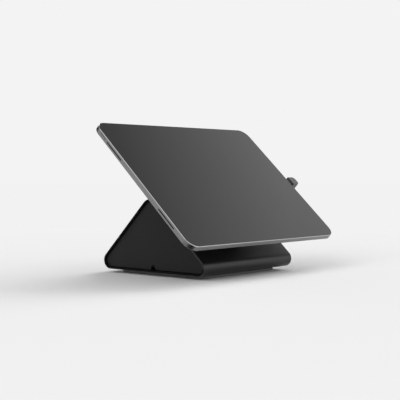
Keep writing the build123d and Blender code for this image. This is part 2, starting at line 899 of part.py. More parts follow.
with BuildPart() as speaker_meshes:
    with BuildSketch(*[face.offset(-mesh_inset) for face in speaker_faces]):
        SlotOverall(slot_length - 2 * mesh_gap, slot_height - 2 * mesh_gap)
    extrude(amount=-mesh_thickness)
speaker_meshes.part.label = "speaker_meshes"
export_step(speaker_meshes.part, "parts/speaker_meshes.step")

with BuildPart() as rear_camera_ring:
    with BuildSketch(slope.offset(tablet_gap)):
        with Locations(camera_place):
            RectangleRounded(camera_size, camera_size, camera_corner)
    extrude(amount=-camera_proud)
    fillet(rear_camera_ring.faces().sort_by(outward)[0].edges(), camera_round)
    with BuildSketch(slope.offset(tablet_gap)):
        with Locations(camera_place):
            Circle(lens_radius + lens_gap)
    extrude(amount=-camera_proud, mode=Mode.SUBTRACT)
rear_camera_ring.part.label = "rear_camera_ring"
export_step(rear_camera_ring.part, "parts/rear_camera_ring.step")

with BuildPart() as rear_camera_lens:
    with BuildSketch(slope.offset(tablet_gap - camera_proud + lens_recess)):
        with Locations(camera_place):
            Circle(lens_radius)
    extrude(amount=camera_proud - lens_recess + back_wall + lens_thickness)
rear_camera_lens.part.label = "rear_camera_lens"
export_step(rear_camera_lens.part, "parts/rear_camera_lens.step")


# Sprung buttons, with a switch behind each


def button(face):
    """Button cap through the side wall, with a flange that keeps it in."""
    with BuildPart() as cap:
        with BuildSketch(face.offset(button_proud)):
            SlotOverall(button_length, button_height)
        extrude(amount=-(button_proud + side_wall + layer_gap))
        with BuildSketch(face.offset(-side_wall - layer_gap)):
            SlotOverall(button_length + 2 * button_flange, button_height + 2 * button_flange)
        extrude(amount=-button_flange_thickness)
    return cap.part


button_names = ["power_button", "volume_up_button", "volume_down_button"]
for button_name, button_face in zip(button_names, button_faces):
    cap = button(button_face)
    cap.label = button_name
    export_step(cap, f"parts/{button_name}.step")

switch_level = side_wall + layer_gap + button_flange_thickness + button_travel + layer_gap

with BuildPart() as button_switches:
    with BuildSketch(*[face.offset(-switch_level) for face in button_faces]):
        Rectangle(switch_length, tablet_thickness - 2 * back_wall - glass_thickness)
    extrude(amount=-switch_thickness)
button_switches.part.label = "button_switches"
export_step(button_switches.part, "parts/button_switches.step")


# Port liner in the tablet's right edge, with the contact tongue inside it

port_face = facing(right, right_edge, tablet_place, tablet_middle)
liner_width = port_width - 2 * port_liner_gap
liner_height = port_height - 2 * port_liner_gap

with BuildPart() as port_socket:
    with BuildSketch(port_face.offset(-port_recess)):
        SlotOverall(liner_width, liner_height)
    extrude(amount=-port_depth)
    with BuildSketch(port_face.offset(-port_recess)):
        SlotOverall(liner_width - 2 * port_liner_wall, liner_height - 2 * port_liner_wall)
    extrude(amount=-(port_depth - port_liner_wall), mode=Mode.SUBTRACT)
    with BuildSketch(port_face.offset(-port_recess - port_depth)):
        Rectangle(tongue_width, tongue_thickness)
    extrude(amount=tongue_length)
port_socket.part.label = "port_socket"
export_step(port_socket.part, "parts/port_socket.step")


# Angle adapter: its plug is in the port, and its body turns round the edge to a socket behind the tablet

adapter_end = adapter_start + adapter_reach
arm_level = tablet_thickness / 2 + adapter_arm_gap
arm_floor = arm_level + adapter_arm_thickness
socket_level = arm_level + adapter_arm_thickness / 2
adapter_side = facing(up_slope, right_edge, tablet_place - adapter_width / 2, tablet_middle)
socket_face = facing(-right, right_edge - adapter_arm_length, tablet_place, tablet_middle - socket_level)

with BuildPart() as adapter_housing:
    with BuildSketch(adapter_side) as adapter_outline:
        with BuildLine():
            Polyline(
                (adapter_start, -adapter_front_level),
                (adapter_end, -adapter_front_level),
                (adapter_end, arm_floor),
                (-adapter_arm_length, arm_floor),
                (-adapter_arm_length, arm_level),
                (adapter_start, arm_level),
                close=True,
            )
        make_face()
        outer_corners = adapter_outline.vertices().sort_by(Axis.X)[-2:]
        fillet(outer_corners.sort_by(Axis.Y)[-1], adapter_back_corner)
        fillet(adapter_outline.vertices().sort_by(Axis.X)[:2], adapter_arm_corner)
    extrude(amount=adapter_width)
    with BuildSketch(slope.offset(tablet_middle - arm_floor)):
        with Locations((right_edge + (adapter_end - adapter_arm_length) / 2, tablet_place)):
            RectangleRounded(adapter_end + adapter_arm_length, adapter_width, adapter_corner)
    extrude(amount=arm_floor + adapter_front_level, mode=Mode.INTERSECT)
    fillet(adapter_housing.faces().sort_by(outward)[-1].edges(), adapter_edge_round)
    with BuildSketch(port_face.offset(adapter_start)):
        SlotOverall(plug_width + 2 * insert_gap, plug_height + 2 * insert_gap)
    extrude(amount=plug_root + insert_gap, mode=Mode.SUBTRACT)
    with BuildSketch(socket_face):
        SlotOverall(socket_width, socket_height)
    extrude(amount=-(socket_depth + socket_recess + insert_gap), mode=Mode.SUBTRACT)
adapter_housing.part.label = "adapter_housing"
export_step(adapter_housing.part, "parts/adapter_housing.step")

with BuildPart() as adapter_collar:
    with BuildSketch(port_face.offset(collar_start)):
        SlotOverall(collar_width, collar_height)
        SlotOverall(plug_width + 2 * insert_gap, plug_height + 2 * insert_gap, mode=Mode.SUBTRACT)
    extrude(amount=adapter_start - insert_gap - collar_start)
adapter_collar.part.label = "adapter_collar"
export_step(adapter_collar.part, "parts/adapter_collar.step")

with BuildPart() as plug_shell:
    with BuildSketch(port_face.offset(-plug_inside)):
        SlotOverall(plug_width, plug_height)
        SlotOverall(plug_width - 2 * plug_wall, plug_height - 2 * plug_wall, mode=Mode.SUBTRACT)
    extrude(amount=plug_inside + adapter_start + plug_root)
plug_shell.part.label = "plug_shell"
export_step(plug_shell.part, "parts/plug_shell.step")

with BuildPart() as plug_insert:
    with BuildSketch(port_face.offset(insert_start)):
        SlotOverall(
            plug_width - 2 * plug_wall - 2 * insert_gap, plug_height - 2 * plug_wall - 2 * insert_gap
        )
    extrude(amount=adapter_start + plug_root - insert_start)
plug_insert.part.label = "plug_insert"
export_step(plug_insert.part, "parts/plug_insert.step")

with BuildPart() as adapter_socket:
    with BuildSketch(socket_face.offset(-socket_recess)):
        SlotOverall(socket_width - 2 * insert_gap, socket_height - 2 * insert_gap)
    extrude(amount=-socket_depth)
    with BuildSketch(socket_face.offset(-socket_recess)):
        SlotOverall(
            socket_width - 2 * insert_gap - 2 * socket_wall, socket_height - 2 * insert_gap - 2 * socket_wall
        )
    extrude(amount=-(socket_depth - socket_wall), mode=Mode.SUBTRACT)
    with BuildSketch(socket_face.offset(-socket_recess - socket_depth)):
        Rectangle(tongue_width, tongue_thickness)
    extrude(amount=tongue_length)
adapter_socket.part.label = "adapter_socket"
export_step(adapter_socket.part, "parts/adapter_socket.step")
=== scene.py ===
"""Looks, studio and camera for the tablet security kiosk stand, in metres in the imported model's frame."""

from math import atan2, cos, hypot, pi, radians, sin

import bmesh
import bpy
from mathutils import Matrix, Vector


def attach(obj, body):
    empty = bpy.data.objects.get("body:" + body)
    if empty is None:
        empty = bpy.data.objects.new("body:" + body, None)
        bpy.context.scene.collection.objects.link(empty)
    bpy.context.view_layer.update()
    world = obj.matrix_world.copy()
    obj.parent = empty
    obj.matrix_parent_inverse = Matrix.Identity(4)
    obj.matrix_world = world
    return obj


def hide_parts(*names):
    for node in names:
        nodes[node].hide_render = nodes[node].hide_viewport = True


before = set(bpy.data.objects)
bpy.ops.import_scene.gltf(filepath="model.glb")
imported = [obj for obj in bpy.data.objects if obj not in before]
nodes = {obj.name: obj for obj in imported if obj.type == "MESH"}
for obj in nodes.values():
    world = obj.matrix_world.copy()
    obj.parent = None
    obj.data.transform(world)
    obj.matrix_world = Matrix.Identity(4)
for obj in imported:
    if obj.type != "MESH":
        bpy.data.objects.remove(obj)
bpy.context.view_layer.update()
mm = 0.001


# Places on the stand's front slope: x to the right, s up the slope, n off it, all in millimetres

SLOPE_ANGLE = radians(42.9)
UP_SLOPE = Vector((0, cos(SLOPE_ANGLE), sin(SLOPE_ANGLE)))
OFF_SLOPE = Vector((0, -sin(SLOPE_ANGLE), cos(SLOPE_ANGLE)))
RIGHT = Vector((1, 0, 0))
NOSE = Vector((0, -84.3, 4.1)) * mm

NECK_PLACE = 74
BACKING_FACE = -4.5
GUIDE_FACE = 22.5
RAIL_TOP = 24.2
TABLET_BACK = 27.5


def on_slope(x, s, n, facing=OFF_SLOPE):
    """Matrix that puts a piece at a place on the slope with its own +Z off the slope or into it."""
    turn = Matrix((RIGHT, facing.cross(RIGHT), facing)).transposed().to_4x4()
    return Matrix.Translation(NOSE + RIGHT * x * mm + UP_SLOPE * s * mm + OFF_SLOPE * n * mm) @ turn


# Camera, solved from the tablet's edges in the photograph; its lens and sensor are in millimetres

LENS_LENGTH = 85.43
SENSOR_WIDTH = 36
VIEWPOINT = Vector((-789.8, -677.0, 106.3)) * mm
HEADING = radians(-49.476)
PITCH = radians(-1.57)
ROLL = radians(-0.035)
VIEW_DEPTH = 20

camera_data = bpy.data.cameras.new("photo_camera")
camera_data.lens = LENS_LENGTH
camera_data.sensor_width = SENSOR_WIDTH
camera_data.clip_end = VIEW_DEPTH
camera = bpy.data.objects.new("photo_camera", camera_data)
bpy.context.collection.objects.link(camera)
camera.location = VIEWPOINT
aim = Matrix.Rotation(HEADING, 3, "Z") @ Matrix.Rotation(pi / 2 + PITCH, 3, "X")
camera.rotation_euler = (aim @ Matrix.Rotation(ROLL, 3, "Z")).to_euler()
bpy.context.scene.camera = camera


# Materials; most of a noise lies between these two values

NOISE_LOW = 0.35
NOISE_HIGH = 0.65


def linear(hex_colour):
    """Linear colour of an sRGB hex value."""
    channels = [int(hex_colour[i:i + 2], 16) / 255 for i in (1, 3, 5)]
    return [c / 12.92 if c <= 0.04045 else ((c + 0.055) / 1.055) ** 2.4 for c in channels] + [1.0]


def add(tree, kind, inputs=None, **settings):
    """New node with its settings; an input is a value or the socket that feeds it."""
    node = tree.nodes.new(f"ShaderNode{kind}")
    for name, value in settings.items():
        setattr(node, name, value)
    for name, value in (inputs or {}).items():
        if isinstance(value, bpy.types.NodeSocket):
            tree.links.new(value, node.inputs[name])
        else:
            node.inputs[name].default_value = value
    return node


def new_material(name):
    """New material with its tree, its shader and the object coordinates."""
    material = bpy.data.materials.new(name)
    material.use_nodes = True
    tree = material.node_tree
    return material, tree, tree.nodes["Principled BSDF"], add(tree, "TexCoord").outputs["Object"]


def finish(name, dark, light, drift, grain, depth, rough, metallic=0.0, stretch=(1, 1, 1), sheen=0.5):
    """Finish whose tone drifts over patches and whose height has a grain, all sized in millimetres."""
    material, tree, shader, coordinates = new_material(name)
    patches = add(tree, "TexNoise", {"Vector": coordinates, "Scale": 1 / (drift * mm), "Detail": 3.0})
    across = add(tree, "Mapping", {"Vector": coordinates, "Scale": stretch})
    grains = add(tree, "TexNoise", {"Vector": across.outputs[0], "Scale": 1 / (grain * mm),
                                    "Detail": 4.0, "Roughness": 0.6})
    blend = add(tree, "Mix", {0: 0.5, 2: patches.outputs[0], 3: grains.outputs[0]}, data_type="FLOAT")
    spread = add(tree, "MapRange", {0: blend.outputs[0], "From Min": NOISE_LOW, "From Max": NOISE_HIGH})
    tone = add(tree, "Mix", {0: spread.outputs[0], 6: linear(dark), 7: linear(light)}, data_type="RGBA")
    gloss = add(tree, "MapRange", {0: blend.outputs[0], "From Min": NOISE_LOW, "From Max": NOISE_HIGH,
                                   "To Min": rough[0], "To Max": rough[1]})
    relief = add(tree, "Bump", {"Height": grains.outputs[0], "Distance": depth * mm, "Strength": 1.0})
    tree.links.new(tone.outputs[2], shader.inputs["Base Color"])
    tree.links.new(gloss.outputs[0], shader.inputs["Roughness"])
    tree.links.new(relief.outputs[0], shader.inputs["Normal"])
    shader.inputs["Metallic"].default_value = metallic
    shader.inputs["Specular IOR Level"].default_value = sheen
    return material


# Marks of blasting, turning and moulds are finer than these grains, which are as coarse as they need to show

# Polyester powder coat on bent steel: a fine orange peel that breaks up a soft satin sheen
powder_coat = finish("powder_coated_steel", "#131313", "#1a1a1a", drift=60, grain=0.9, depth=0.02,
                     rough=(0.34, 0.42), sheen=0.44)
# The same coat on flat blanked plate, baked a little flatter
powder_coat_flat = finish("powder_coated_plate", "#1c1c1d", "#242425", drift=40, grain=0.8, depth=0.02,
                          rough=(0.5, 0.6))
# Injection moulded ABS with a spark eroded grain: an even dark grey with no highlights
moulded_abs = finish("moulded_abs_fine_grain", "#131313", "#171717", drift=45, grain=0.7, depth=0.04,
                     rough=(0.55, 0.65), sheen=0.25)
# Die cast aluminium under a black coat: slightly uneven and duller than the sheet
coated_casting = finish("coated_die_casting", "#111112", "#1a1a1b", drift=18, grain=1.4, depth=0.05,
                        rough=(0.5, 0.62))
# Solid grey rubber pad: matte, with the faint texture of its mould
foot_rubber = finish("moulded_rubber", "#7c7c7c", "#868686", drift=25, grain=1.1, depth=0.08,
                     rough=(0.75, 0.88))
# Closed cell bonding foam: fine pores, no sheen
bonding_foam = finish("closed_cell_foam", "#141414", "#1f1f1f", drift=12, grain=0.6, depth=0.12,
                      rough=(0.85, 0.95))
# Bead blasted and anodised aluminium, dark grey: a metal with a very even silky scatter
anodised = finish("anodised_aluminium_dark_grey", "#808080", "#878787", drift=55, grain=0.35,
                  depth=0.006, rough=(0.33, 0.39), metallic=1.0)
# The camera's raised island is the same metal, blasted finer
anodised_fine = finish("anodised_aluminium_island", "#747474", "#7b7b7b", drift=20, grain=0.3,
                       depth=0.004, rough=(0.26, 0.32), metallic=1.0)
# Zinc plated steel: bright blue-grey with long faint rolling lines
zinc_plate = finish("zinc_plated_steel", "#9a9ca0", "#b4b6ba", drift=9, grain=0.5, depth=0.006,
                    rough=(0.28, 0.4), metallic=1.0, stretch=(0.06, 1, 1))
# Zinc plated screws and pins: small turned pieces with a finer plating
zinc_screw = finish("zinc_plated_screw", "#a2a4a7", "#bdbfc2", drift=3, grain=0.25, depth=0.004,
                    rough=(0.22, 0.34), metallic=1.0)
# Sand cast iron: coarse grey skin
cast_iron = finish("sand_cast_iron", "#2b2b2d", "#3e3e41", drift=14, grain=1.6, depth=0.2,
                   rough=(0.62, 0.78), metallic=0.8)
# Chrome plated lock body
chrome = finish("chrome_plate", "#c4c5c8", "#d0d1d3", drift=6, grain=0.5, depth=0.001,
                rough=(0.08, 0.14), metallic=1.0)
# Turned brass of the lock's core: warm, with the fine satin that a lathe leaves
turned_brass = finish("turned_brass", "#9c8350", "#b3965e", drift=4, grain=0.3, depth=0.005,
                      rough=(0.22, 0.34), metallic=1.0)
# Satin polycarbonate of the angle adapter: mid grey with a soft shine on its rounds
adapter_shell = finish("satin_polycarbonate_grey", "#424242", "#4a4a4a", drift=10, grain=0.5, depth=0.01,
                       rough=(0.28, 0.36))
# Darker moulded collar between the adapter and the tablet
adapter_neck = finish("moulded_collar_grey", "#1e1e1e", "#262626", drift=5, grain=0.4, depth=0.01,
                      rough=(0.45, 0.55))
# Stamped nickel plated steel of the plug and sockets
stamped_nickel = finish("nickel_plated_stamping", "#8f8f8e", "#a5a5a3", drift=3, grain=0.3, depth=0.003,
                        rough=(0.2, 0.32), metallic=1.0)
# Glass filled nylon of small black inner mouldings
black_nylon = finish("glass_filled_nylon", "#0f0f0f", "#1a1a1a", drift=6, grain=0.3, depth=0.02,
                     rough=(0.55, 0.68))
# Battery cells in polyester film: dark, with a soft wrinkled gloss
battery_film = finish("polyester_film_wrap", "#141416", "#1e1e21", drift=18, grain=4.0, depth=0.15,
                      rough=(0.25, 0.4))
# Solder mask over copper: deep green with faint tracks
solder_mask = finish("solder_mask_green", "#0c3320", "#17492f", drift=5, grain=0.8, depth=0.03,
                     rough=(0.3, 0.42), stretch=(1, 0.15, 0.15))
# Moulded diffuser over the flash: pale and slightly milky, with a yellow cast from the lamp's phosphor
flash_diffuser = finish("milky_flash_diffuser", "#cfc7a6", "#ddd6bd", drift=1.2, grain=0.3, depth=0.01,
                        rough=(0.2, 0.3))
# Display panel behind the glass: black film
display_film = finish("display_rear_film", "#060607", "#0a0a0b", drift=50, grain=2.0, depth=0.002,
                      rough=(0.1, 0.16))


def cover_glass_material():
    """Strengthened glass over a black display: a sharp reflection, softened here and there by handling."""
    smear_size = 38
    cloud_size = 90
    wiped, handled = 0.06, 0.12
    black, soft_black = linear("#070708"), linear("#0a0a0c")
    material, tree, shader, coordinates = new_material("strengthened_glass_black")
    smears = add(tree, "TexNoise", {"Vector": coordinates, "Scale": 1 / (smear_size * mm), "Detail": 5.0,
                                    "Distortion": 0.8})
    roughness = add(tree, "MapRange", {0: smears.outputs[0], "From Min": 0.4, "From Max": 0.7,
                                       "To Min": wiped, "To Max": handled})
    clouds = add(tree, "TexNoise", {"Vector": coordinates, "Scale": 1 / (cloud_size * mm), "Detail": 2.0})
    tone = add(tree, "Mix", {0: clouds.outputs[0], 6: black, 7: soft_black}, data_type="RGBA")
    tree.links.new(tone.outputs[2], shader.inputs["Base Color"])
    tree.links.new(roughness.outputs[0], shader.inputs["Roughness"])
    shader.inputs["IOR"].default_value = 1.52
    return material


def lens_material():
    """Coated camera glass: near black with a faint violet ring, as broadband coatings have."""
    bloom_size = 3
    depths, dark, violet = linear("#06060a"), linear("#08080c"), linear("#2a2140")
    material, tree, shader, coordinates = new_material("coated_lens_glass")
    bloom = add(tree, "TexNoise", {"Vector": coordinates, "Scale": 1 / (bloom_size * mm), "Detail": 1.0})
    slant = add(tree, "LayerWeight", {"Blend": 0.4})
    coat = add(tree, "Mix", {0: slant.outputs["Facing"], 6: dark, 7: violet}, data_type="RGBA")
    tone = add(tree, "Mix", {0: bloom.outputs[0], 6: depths, 7: coat.outputs[2]}, data_type="RGBA")
    tree.links.new(tone.outputs[2], shader.inputs["Base Color"])
    shader.inputs["Roughness"].default_value = 0.05
    shader.inputs["IOR"].default_value = 1.6
    return material


def speaker_mesh_material():
    """Blackened woven steel gauze: rows of small openings painted near black as painted shade of the holes,
    drawn coarser than they are so that they show.
    """
    pitch = 0.95
    opening, edge = 0.3, 0.04
    wire_depth = 0.15
    black, dark_grey = linear("#010101"), linear("#0c0c0c")
    material, tree, shader, coordinates = new_material("blackened_steel_gauze")
    local = add(tree, "Mapping", {"Vector": coordinates, "Rotation": (-SLOPE_ANGLE, 0, 0)})
    cells = add(tree, "VectorMath", {0: local.outputs[0], 1: (pitch * mm,) * 3}, operation="DIVIDE")
    inside = add(tree, "VectorMath", {0: cells.outputs[0]}, operation="FRACTION")
    centred = add(tree, "VectorMath", {0: inside.outputs[0], 1: (0.5, 0.5, 0.5)}, operation="SUBTRACT")
    flat = add(tree, "VectorMath", {0: centred.outputs[0], 1: (0.0, 1.0, 1.0)}, operation="MULTIPLY")
    radius = add(tree, "VectorMath", {0: flat.outputs[0]}, operation="LENGTH")
    wire = add(tree, "MapRange", {0: radius.outputs["Value"], "From Min": opening - edge,
                                  "From Max": opening + edge})
    # Painted shade: the openings are painted near black for the dark holes, and the wires dark grey
    tone = add(tree, "Mix", {0: wire.outputs[0], 6: black, 7: dark_grey}, data_type="RGBA")
    relief = add(tree, "Bump", {"Height": wire.outputs[0], "Distance": wire_depth * mm})
    tree.links.new(tone.outputs[2], shader.inputs["Base Color"])
    tree.links.new(relief.outputs[0], shader.inputs["Normal"])
    shader.inputs["Metallic"].default_value = 0.7
    shader.inputs["Roughness"].default_value = 0.5
    return material


cover_glass_black = cover_glass_material()
lens_glass = lens_material()
speaker_gauze = speaker_mesh_material()

node_finishes = {
    powder_coat: ["wrap_shell"],
    powder_coat_flat: ["base_plate", "tablet_plate", "plate_stop"],
    moulded_abs: ["left_side_panel", "right_side_panel"],
    coated_casting: ["mount_neck", "rail_head"],
    foot_rubber: ["foot_pad", "stop_bumper"],
    bonding_foam: ["bond_pad"],
    anodised: ["tablet_housing", "power_button", "volume_up_button", "volume_down_button"],
    anodised_fine: ["rear_camera_ring"],
    zinc_plate: ["tie_rods", "rib_plates", "backing_plate", "plate_guides", "lock_nut", "lock_cam"],
    zinc_screw: ["base_screws", "neck_screws", "rail_screws", "cam_screw", "guide_rivets"],
    cast_iron: ["ballast_block"],
    chrome: ["lock_body"],
    turned_brass: ["lock_core"],
    cover_glass_black: ["cover_glass"],
    display_film: ["display_panel"],
    battery_film: ["battery_cells"],
    solder_mask: ["main_board"],
    black_nylon: ["speaker_modules", "button_switches", "plug_insert"],
    speaker_gauze: ["speaker_meshes"],
    lens_glass: ["rear_camera_lens"],
    stamped_nickel: ["port_socket", "plug_shell", "adapter_socket"],
    adapter_shell: ["adapter_housing"],
    adapter_neck: ["adapter_collar"],
}
for material, names in node_finishes.items():
    for name in names:
        nodes[name].data.materials.clear()
        nodes[name].data.materials.append(material)


# Pieces that keep the model's shape but have a second finish: painted shade on the shell's cut ends, a
# painted highlight on the tablet's bevel

MERGE_DISTANCE = 0.001 * mm
SKIN_CREASE = radians(30)
CUT_END_FACING = 0.9
BEVEL_FACING_LOW, BEVEL_FACING_HIGH = 0.55, 0.85
FRONT_SHEET_DEPTH = 4 * mm
NOSE_LENGTH = 6 * mm

# Painted shade: the shell's cut ends by the seam are painted near black, dull and with little sheen, to
# stand for the shade in the seam
cut_edge_painted_shade = finish("shell_cut_edge_painted_shade", "#060606", "#0a0a0a", drift=20, grain=0.5, depth=0.02,
                         rough=(0.7, 0.8), sheen=0.1)
# Painted highlight: the bevel round the tablet's front is painted brighter and smoother than the housing, to
# stand for the bright line along its rim
bevel_painted_highlight = finish("tablet_bevel_painted_highlight", "#b8b8b8", "#c4c4c4", drift=30, grain=0.3, depth=0.002,
                   rough=(0.14, 0.2), metallic=1.0)


def two_finish_copy(name, node, body, skin, light_or_shade_finish, gets_painted_light):
    """The CAD node as one joined skin, with the faces that the test picks in a second finish of painted
    light or shade.
    """
    joined = bmesh.new()
    joined.from_mesh(nodes[node].data)
    bmesh.ops.remove_doubles(joined, verts=joined.verts[:], dist=MERGE_DISTANCE)
    for face in joined.faces:
        face.smooth = True
        face.material_index = int(gets_painted_light(face))
    for edge in joined.edges:
        edge.smooth = len(edge.link_faces) == 2 and edge.calc_face_angle(0) < SKIN_CREASE
    mesh = bpy.data.meshes.new(name)
    joined.to_mesh(mesh)
    joined.free()
    made = bpy.data.objects.new(name, mesh)
    bpy.context.collection.objects.link(made)
    made.data.materials.append(skin)
    made.data.materials.append(light_or_shade_finish)
    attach(made, body)
    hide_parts(node)


def shaded_cut_end(face):
    """True on the sheet's cut ends, which get the painted shade, apart from the front slope's, which stand
    clear of the seam.
    """
    place = face.calc_center_median() - NOSE
    on_front = place.dot(OFF_SLOPE) > -FRONT_SHEET_DEPTH and place.dot(UP_SLOPE) > NOSE_LENGTH
    return abs(face.normal.x) > CUT_END_FACING and not on_front


def rim_bevel(face):
    """True on the bevel round the tablet's front, which leans half way to the side; it gets the painted
    highlight.
    """
    return BEVEL_FACING_LOW < face.normal.dot(OFF_SLOPE) < BEVEL_FACING_HIGH


two_finish_copy("bent_shell", "wrap_shell", "stand",
                powder_coat, cut_edge_painted_shade, shaded_cut_end)
two_finish_copy("bevelled_housing", "tablet_housing", "tablet",
                anodised, bevel_painted_highlight, rim_bevel)


# Turned pieces, in millimetres along their own +Z

SOLID_CREASE = radians(40)
HEXAGON_TURN = pi / 3
SAME_RADIUS = 0.01 * mm


def turned(profile, steps=32):
    """Closed solid of revolution about +Z, from (radius, height) points that start and end on the axis."""
    solid = bmesh.new()
    points = [solid.verts.new((radius * mm, 0, height * mm)) for radius, height in profile]
    for start, end in zip(points, points[1:]):
        solid.edges.new((start, end))
    bmesh.ops.spin(solid, geom=solid.verts[:] + solid.edges[:], axis=(0, 0, 1), cent=(0, 0, 0),
                   angle=2 * pi, steps=steps, use_merge=True)
    bmesh.ops.remove_doubles(solid, verts=solid.verts[:], dist=MERGE_DISTANCE)
    bmesh.ops.recalc_face_normals(solid, faces=solid.faces[:])
    return solid


def cap_head(radius, height, rim, shank):
    """Points of a round head, from the rounded rim of its top to the shank."""
    return [(radius - rim, -height), (radius, rim - height), (radius, 0), (shank, 0)]


def screw(head, reach, socket_radius, socket_depth):
    """Screw with a hexagon socket; the head is its points from the rim of its top to the shank."""
    top = head[0][1]
    shank = head[-1][0]
    socket = [(0, top + socket_depth), (socket_radius, top + socket_depth), (socket_radius, top)]
    solid = turned(socket + head + [(shank, reach), (0, reach)], steps=36)
    for vert in solid.verts:
        if abs(hypot(vert.co.x, vert.co.y) - socket_radius * mm) < SAME_RADIUS:
            turn = (atan2(vert.co.y, vert.co.x) + HEXAGON_TURN / 2) % HEXAGON_TURN - HEXAGON_TURN / 2
            vert.co.xy = vert.co.xy * (cos(HEXAGON_TURN / 2) / cos(turn))
    return solid


def piece(name, solid, places, body, material, replaced=()):
    """Object made of the solid at each place, riding on a body, in place of the nodes it stands for."""
    whole = bpy.data.meshes.new(name)
    copies = bmesh.new()
    for place in places:
        solid.transform(place)
        solid.to_mesh(whole)
        copies.from_mesh(whole)
        solid.transform(place.inverted())
    for edge in copies.edges:
        edge.smooth = len(edge.link_faces) == 2 and edge.calc_face_angle(0) < SOLID_CREASE
    for face in copies.faces:
        face.smooth = True
    copies.to_mesh(whole)
    copies.free()
    solid.free()
    made = bpy.data.objects.new(name, whole)
    bpy.context.collection.objects.link(made)
    made.data.materials.append(material)
    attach(made, body)
    if replaced:
        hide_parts(*replaced)


# Screws and rivets with their real heads, in millimetres

M5_SHANK = 2.5
M4_SHANK = 2.0
RIVET_SHANK = 1.6
PAD_TOP = 2.5
BASE_SCREW_CORNER = (30, 30)
NECK_SCREW_CORNER = (24, 19)
RAIL_SCREW_CORNER = (13, 16)
RIVET_SIDE = 34.8
RIVET_PITCH = 17


def four(x, y):
    """The four corners of a rectangle about its middle, from one of them."""
    return [(side * x, end * y) for side in (-1, 1) for end in (-1, 1)]


base_screw = screw(cap_head(radius=4.5, height=1.8, rim=0.4, shank=M5_SHANK), reach=13.6,
                   socket_radius=1.9, socket_depth=1.2)
piece("base_screws_socketed", base_screw,
      [Matrix.Translation(Vector((x, y, PAD_TOP)) * mm) for x, y in four(*BASE_SCREW_CORNER)],
      "stand", zinc_screw, ["base_screws"])

neck_screw = screw(cap_head(radius=4.3, height=3.0, rim=0.5, shank=M5_SHANK), reach=14.5,
                   socket_radius=2.0, socket_depth=1.8)
piece("neck_screws_socketed", neck_screw,
      [on_slope(x, NECK_PLACE + s, BACKING_FACE) for x, s in four(*NECK_SCREW_CORNER)],
      "stand", zinc_screw, ["neck_screws"])

countersunk_head = [(3.7, 0.0), (M4_SHANK, 1.95)]
rail_screw = screw(countersunk_head, reach=8.5, socket_radius=1.2, socket_depth=1.2)
piece("rail_screws_socketed", rail_screw,
      [on_slope(x, NECK_PLACE + s, RAIL_TOP, -OFF_SLOPE) for x, s in four(*RAIL_SCREW_CORNER)],
      "stand", zinc_screw, ["rail_screws"])

rivet_dome = [(0, -1.1), (1.0, -1.05), (2.0, -0.75), (2.6, -0.3), (2.8, 0)]
rivet = turned(rivet_dome + [(RIVET_SHANK, 0), (RIVET_SHANK, 4.0), (0, 4.0)])
piece("guide_rivets_domed", rivet,
      [on_slope(side * RIVET_SIDE, NECK_PLACE + step * RIVET_PITCH, GUIDE_FACE)
       for side in (-1, 1) for step in (-1, 0, 1)],
      "tablet", zinc_screw, ["guide_rivets"])


# Back camera, in millimetres: stepped lens barrel, and the flash window on the island beside it

LENS_PLACE = (-101.8, 169.9)
LENS_RADIUS = 5.4
ISLAND_HEIGHT = 1.6
FLASH_STEP = 6.8

barrel_steps = [(0, -1.0), (2.1, -1.0), (2.3, -1.2), (3.4, -1.2), (3.6, -1.35), (4.6, -1.35), (4.7, -1.3)]
barrel = turned(barrel_steps + [(LENS_RADIUS, -1.3), (LENS_RADIUS, 1.8), (0, 1.8)], steps=48)
piece("rear_camera_barrel", barrel, [on_slope(*LENS_PLACE, TABLET_BACK)], "tablet", lens_glass,
      ["rear_camera_lens"])

flash_window = turned([(0, -0.2), (1.0, -0.2), (1.2, -0.12), (1.4, -0.2), (1.7, -0.15), (1.9, 0), (0, 0)])
flash_place = [along - FLASH_STEP for along in LENS_PLACE]
piece("rear_flash_window", flash_window, [on_slope(*flash_place, TABLET_BACK - ISLAND_HEIGHT)], "tablet",
      flash_diffuser)


# Studio floor, which fades into the backdrop, in metres

FADE_START = 0.3
FADE_END = 0.9
FLOOR_RADIUS = 9
FLOOR_DROP = 0.02 * mm


def floor_material():
    """Pale painted floor that turns into the backdrop's own tone away from the object."""
    paint_drift = 300 * mm
    paint_low, paint_high, backdrop_tone = linear("#ebebeb"), linear("#ededed"), linear("#f2f2f2")
    material, tree, shader, coordinates = new_material("pale_studio_floor")
    distance = add(tree, "VectorMath", {0: coordinates}, operation="LENGTH")
    away = add(tree, "MapRange", {0: distance.outputs["Value"], "From Min": FADE_START,
                                  "From Max": FADE_END}, interpolation_type="SMOOTHSTEP")
    paint = add(tree, "TexNoise", {"Vector": coordinates, "Scale": 1 / paint_drift})
    tone = add(tree, "Mix", {0: paint.outputs[0], 6: paint_low, 7: paint_high}, data_type="RGBA")
    tree.links.new(tone.outputs[2], shader.inputs["Base Color"])
    shader.inputs["Roughness"].default_value = 0.9
    shader.inputs["Specular IOR Level"].default_value = 0.0
    backdrop = add(tree, "Emission", {"Color": backdrop_tone, "Strength": 1.0})
    mixed = add(tree, "MixShader", {0: away.outputs[0], 1: shader.outputs[0], 2: backdrop.outputs[0]})
    tree.links.new(mixed.outputs[0], tree.nodes["Material Output"].inputs["Surface"])
    return material


floor = bmesh.new()
bmesh.ops.create_circle(floor, cap_ends=True, radius=FLOOR_RADIUS, segments=96)
bmesh.ops.translate(floor, verts=floor.verts[:], vec=(0, 0, -FLOOR_DROP))
floor_mesh = bpy.data.meshes.new("studio_floor")
floor.to_mesh(floor_mesh)
floor.free()
studio_floor = bpy.data.objects.new("studio_floor", floor_mesh)
studio_floor.data.materials.append(floor_material())
bpy.context.collection.objects.link(studio_floor)


# Black cards, seen only as painted dark reflections on the tablet's metal; the lower one stands for the
# floor's shade under it

